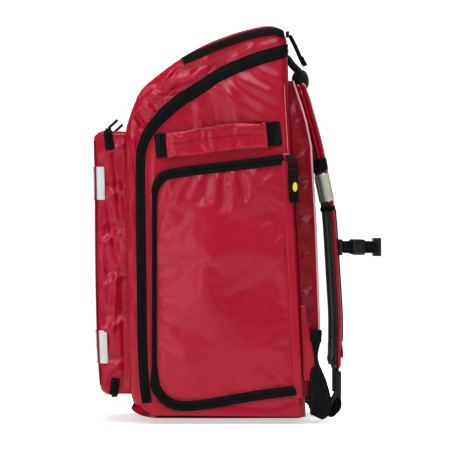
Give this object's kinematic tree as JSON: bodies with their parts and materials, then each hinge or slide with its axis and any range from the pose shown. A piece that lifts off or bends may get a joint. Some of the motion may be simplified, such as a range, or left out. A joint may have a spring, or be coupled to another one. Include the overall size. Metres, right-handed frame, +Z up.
{
  "type": "trauma backpack",
  "caption": "Tarpaulin trauma backpack: zipped clamshell cover with pocket, top flap, zipped side doors, carry handles, padded harness with sternum strap and waist belt.",
  "frame": {"origin": "middle of the base, on the surface it stands on", "axes": "+Z up, +Y towards the wearer's back (harness side), +X to the wearer's right"},
  "size_m": [0.391, 0.4381, 0.5886],
  "materials": {
    "red_tarpaulin": "semi-gloss coated tarpaulin, soft folds",
    "zip_tape": "woven tape with a moulded coil",
    "zip_metal": "black lacquered slider",
    "black_webbing": "ribbed woven webbing",
    "padded_mesh": "black spacer mesh over foam",
    "reflective_tape": "silver reflective tape",
    "black_plastic": "moulded acetal",
    "lining": "dark woven lining",
    "stiff_board": "polyethylene sheet"
  },
  "bodies": {
    "bag": {"body_shell": "red_tarpaulin", "main_zip_body_half": "zip_tape", "side_zip_frames": "zip_tape", "side_pocket_liners": "lining", "base_board": "stiff_board", "frame_sheet": "stiff_board", "inner_shelves": "lining", "back_pad": "padded_mesh", "strap_yoke": "red_tarpaulin", "anchor_wings": "red_tarpaulin", "side_handle_tabs": "black_webbing", "lower_strap_webbing": "black_webbing"},
    "front_cover": {"cover_shell": "red_tarpaulin", "main_zip_cover_half": "zip_tape", "top_pocket_zip_rim": "zip_tape", "top_pocket_floor": "lining", "front_pocket_shell": "red_tarpaulin", "front_pocket_zip_rims": "zip_tape", "front_reflective_bands": "reflective_tape"},
    "top_flap": {"top_flap": "red_tarpaulin", "top_flap_zip": "zip_tape"},
    "front_pocket_lid": {"front_pocket_lid": "red_tarpaulin", "front_pocket_lid_zip": "zip_tape"},
    "front_pocket_base_flap": {"front_pocket_base_flap": "red_tarpaulin", "front_pocket_base_zip": "zip_tape"},
    "front_pocket_slider_right": {"front_pocket_slider_right": "zip_metal"},
    "front_pocket_slider_left": {"front_pocket_slider_left": "zip_metal"},
    "front_pocket_base_slider": {"front_pocket_base_slider": "zip_metal"},
    "side_door_right": {"side_door_right": "red_tarpaulin", "side_door_zip_right": "zip_tape"},
    "side_door_left": {"side_door_left": "red_tarpaulin", "side_door_zip_left": "zip_tape"},
    "side_zip_slider_right": {"side_zip_slider_right": "zip_metal"},
    "side_zip_slider_left": {"side_zip_slider_left": "zip_metal"},
    "side_zip_pull_right": {"side_zip_pull_right": "black_webbing"},
    "side_zip_pull_left": {"side_zip_pull_left": "black_webbing"},
    "top_zip_slider": {"top_zip_slider": "zip_metal"},
    "top_zip_pull": {"top_zip_pull": "black_webbing"},
    "main_zip_slider_front": {"main_zip_slider_front": "zip_metal"},
    "main_zip_slider_rear": {"main_zip_slider_rear": "zip_metal"},
    "side_handle_right": {"side_handle_right": "red_tarpaulin"},
    "side_handle_left": {"side_handle_left": "red_tarpaulin"},
    "grab_handle": {"grab_handle": "padded_mesh"},
    "shoulder_strap_right": {"shoulder_foam_right": "padded_mesh", "shoulder_face_right": "red_tarpaulin", "shoulder_reflective_right": "reflective_tape"},
    "shoulder_strap_left": {"shoulder_foam_left": "padded_mesh", "shoulder_face_left": "red_tarpaulin", "shoulder_reflective_left": "reflective_tape"},
    "ladder_lock_right": {"ladder_lock_right": "black_plastic"},
    "ladder_lock_left": {"ladder_lock_left": "black_plastic"},
    "sternum_right": {"sternum_ring_right": "black_plastic", "sternum_webbing_right": "black_webbing", "sternum_buckle_socket": "black_plastic"},
    "sternum_left": {"sternum_ring_left": "black_plastic"},
    "sternum_plug": {"sternum_buckle_plug": "black_plastic", "sternum_webbing_left": "black_webbing"},
    "waist_belt_right": {"waist_belt_right": "black_webbing"},
    "waist_belt_left": {"waist_belt_left": "black_webbing"}
  },
  "joints": [
    {"name": "cover_open", "type": "hinge", "parent": "bag", "child": "front_cover", "pos_m": [0, -0.14304, 0.017], "axis": [1, 0, 0], "range_deg": [0, 100]},
    {"name": "top_flap_open", "type": "hinge", "parent": "front_cover", "child": "top_flap", "pos_m": [0, -0.06089, 0.54309], "axis": [1, 0, 0], "range_deg": [0, 110]},
    {"name": "pocket_lid_open", "type": "hinge", "parent": "front_cover", "child": "front_pocket_lid", "pos_m": [0, -0.15249, 0.43199], "axis": [-1, 0, 0], "range_deg": [0, 70]},
    {"name": "pocket_base_open", "type": "hinge", "parent": "front_cover", "child": "front_pocket_base_flap", "pos_m": [0, -0.14654, 0.036], "axis": [1, 0, 0], "range_deg": [0, 70]},
    {"name": "pocket_slider_right_slide", "type": "slide", "parent": "front_cover", "child": "front_pocket_slider_right", "axis": [-1, 0, 0], "range_m": [0, 0.105]},
    {"name": "pocket_slider_left_slide", "type": "slide", "parent": "front_cover", "child": "front_pocket_slider_left", "axis": [1, 0, 0], "range_m": [0, 0.105]},
    {"name": "pocket_base_slider_slide", "type": "slide", "parent": "front_cover", "child": "front_pocket_base_slider", "axis": [-1, 0, 0], "range_m": [0, 0.23]},
    {"name": "side_door_right_open", "type": "hinge", "parent": "bag", "child": "side_door_right", "pos_m": [0.18, 0.09562, 0.2], "axis": [0, -0.0519, 0.9987], "range_deg": [0, 90]},
    {"name": "side_door_left_open", "type": "hinge", "parent": "bag", "child": "side_door_left", "pos_m": [-0.18, 0.09562, 0.2], "axis": [0, 0.0519, -0.9987], "range_deg": [0, 90]},
    {"name": "side_zip_right_slide", "type": "slide", "parent": "bag", "child": "side_zip_slider_right", "axis": [0, -0.9936, -0.1133], "range_m": [0, 0.165]},
    {"name": "side_zip_left_slide", "type": "slide", "parent": "bag", "child": "side_zip_slider_left", "axis": [0, -0.9936, -0.1133], "range_m": [0, 0.165]},
    {"name": "side_pull_right_swing", "type": "hinge", "parent": "side_zip_slider_right", "child": "side_zip_pull_right", "pos_m": [0.1854, 0.09845, 0.38648], "axis": [1, 0, 0], "range_deg": [-60, 60]},
    {"name": "side_pull_left_swing", "type": "hinge", "parent": "side_zip_slider_left", "child": "side_zip_pull_left", "pos_m": [-0.1854, 0.09845, 0.38648], "axis": [1, 0, 0], "range_deg": [-60, 60]},
    {"name": "top_zip_slide", "type": "slide", "parent": "front_cover", "child": "top_zip_slider", "axis": [1, 0, 0], "range_m": [0, 0.075]},
    {"name": "top_pull_swing", "type": "hinge", "parent": "top_zip_slider", "child": "top_zip_pull", "pos_m": [0, 0.0953, 0.58235], "axis": [1, 0, 0], "range_deg": [-15, 80]},
    {"name": "main_zip_front_slide", "type": "slide", "parent": "bag", "child": "main_zip_slider_front", "axis": [0, -0.948, -0.3184], "range_m": [0, 0.03]},
    {"name": "main_zip_rear_slide", "type": "slide", "parent": "bag", "child": "main_zip_slider_rear", "axis": [0, 0.948, 0.3184], "range_m": [0, 0.03]},
    {"name": "side_handle_right_swing", "type": "hinge", "parent": "bag", "child": "side_handle_right", "pos_m": [0.191, -0.088, 0.42997], "axis": [0, -0.9947, -0.1029], "range_deg": [0, 45]},
    {"name": "side_handle_left_swing", "type": "hinge", "parent": "bag", "child": "side_handle_left", "pos_m": [-0.191, -0.088, 0.42997], "axis": [0, 0.9947, 0.1029], "range_deg": [0, 45]},
    {"name": "grab_handle_lift", "type": "hinge", "parent": "bag", "child": "grab_handle", "pos_m": [0, 0.0931, 0.54697], "axis": [1, 0, 0], "range_deg": [0, 130]},
    {"name": "strap_right_lift", "type": "hinge", "parent": "bag", "child": "shoulder_strap_right", "pos_m": [0, 0.10238, 0.50297], "axis": [1, 0, 0], "range_deg": [0, 12]},
    {"name": "strap_left_lift", "type": "hinge", "parent": "bag", "child": "shoulder_strap_left", "pos_m": [0, 0.10238, 0.50297], "axis": [1, 0, 0], "range_deg": [0, 12]},
    {"name": "ladder_lock_right_tilt", "type": "hinge", "parent": "shoulder_strap_right", "child": "ladder_lock_right", "pos_m": [0.084, 0.16996, 0.06753], "axis": [1, 0, 0], "range_deg": [0, 25]},
    {"name": "ladder_lock_left_tilt", "type": "hinge", "parent": "shoulder_strap_left", "child": "ladder_lock_left", "pos_m": [-0.084, 0.16996, 0.06753], "axis": [1, 0, 0], "range_deg": [0, 25]},
    {"name": "sternum_right_height", "type": "slide", "parent": "shoulder_strap_right", "child": "sternum_right", "axis": [0, 0, 1], "range_m": [-0.03, 0.03]},
    {"name": "sternum_left_height", "type": "slide", "parent": "shoulder_strap_left", "child": "sternum_left", "axis": [0, 0, 1], "range_m": [-0.03, 0.03]},
    {"name": "sternum_buckle_release", "type": "slide", "parent": "sternum_left", "child": "sternum_plug", "axis": [-1, 0, 0], "range_m": [0, 0.024]},
    {"name": "waist_belt_right_swing", "type": "hinge", "parent": "bag", "child": "waist_belt_right", "pos_m": [0.172, 0.121, 0.06], "axis": [0, 0, -1], "range_deg": [0, 80]},
    {"name": "waist_belt_left_swing", "type": "hinge", "parent": "bag", "child": "waist_belt_left", "pos_m": [-0.172, 0.121, 0.06], "axis": [0, 0, 1], "range_deg": [0, 80]}
  ],
  "couplings": [
    {"joint": "strap_left_lift", "follows": "strap_right_lift", "ratio": 1},
    {"joint": "sternum_left_height", "follows": "sternum_right_height", "ratio": 1}
  ]
}
